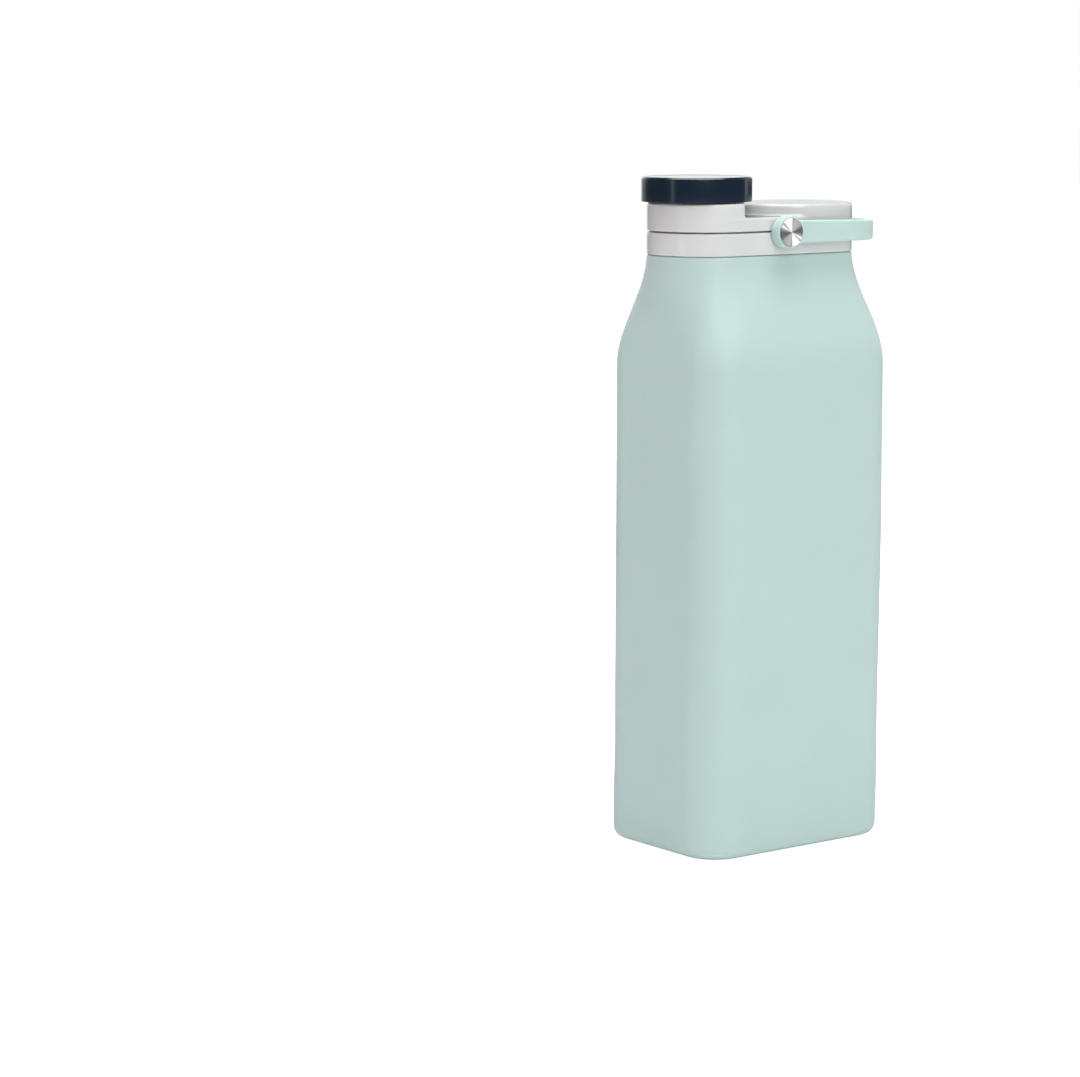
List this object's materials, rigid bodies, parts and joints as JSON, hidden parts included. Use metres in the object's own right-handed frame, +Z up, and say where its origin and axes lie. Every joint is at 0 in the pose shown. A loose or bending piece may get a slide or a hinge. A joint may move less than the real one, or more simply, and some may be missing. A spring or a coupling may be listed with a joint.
{
  "type": "folding water bottle",
  "caption": "Folding silicone water bottle with a carton-shaped body, oval rigid collar, lift-off lid with a screw-capped spout, and a swinging carry strap.",
  "frame": {"origin": "centre of the base's underside, on the table", "axes": "+Z up the bottle; +X along the collar's long side, from the capped spout towards the raised dome; -Y is the front"},
  "size_m": [0.0854, 0.057, 0.216],
  "materials": {
    "silicone": "matte",
    "white_plastic": "gloss",
    "inner_plastic": "satin",
    "seal_rubber": "matte",
    "navy_plastic": "satin",
    "bush_plastic": "satin",
    "steel": "satin",
    "turned_metal": "turned",
    "brass": "satin"
  },
  "bodies": {
    "bottle": {"bottle_body": "silicone", "collar_ring": "white_plastic", "neck_insert": "inner_plastic", "pivot_stud_front": "steel", "pivot_stud_rear": "steel", "button_front": "turned_metal", "button_rear": "turned_metal", "stud_inserts": "brass"},
    "lid": {"lid_housing": "white_plastic", "lid_core": "inner_plastic", "lid_gasket": "seal_rubber"},
    "seal": {"cap_seal": "seal_rubber"},
    "cap": {"spout_cap": "navy_plastic"},
    "strap": {"carry_strap": "silicone", "strap_bush_front": "bush_plastic", "strap_bush_rear": "bush_plastic"}
  },
  "joints": [
    {"name": "lid_lift", "type": "slide", "parent": "bottle", "child": "lid", "axis": [0, 0, 1], "range_m": [0, 0.02]},
    {"name": "cap_lift", "type": "slide", "parent": "lid", "child": "seal", "axis": [0, 0, 1], "range_m": [0, 0.00601]},
    {"name": "cap_turn", "type": "hinge", "parent": "seal", "child": "cap", "pos_m": [-0.0224, 0, 0.2081], "axis": [0, 0, 1], "range_deg": [0, 540]},
    {"name": "strap_swing", "type": "hinge", "parent": "bottle", "child": "strap", "pos_m": [-0.0022, 0, 0.1985], "axis": [0, -1, 0], "range_deg": [-10, 190]}
  ],
  "couplings": [
    {"joint": "cap_lift", "follows": "cap_turn", "m_per_rad": 0.00063662}
  ]
}
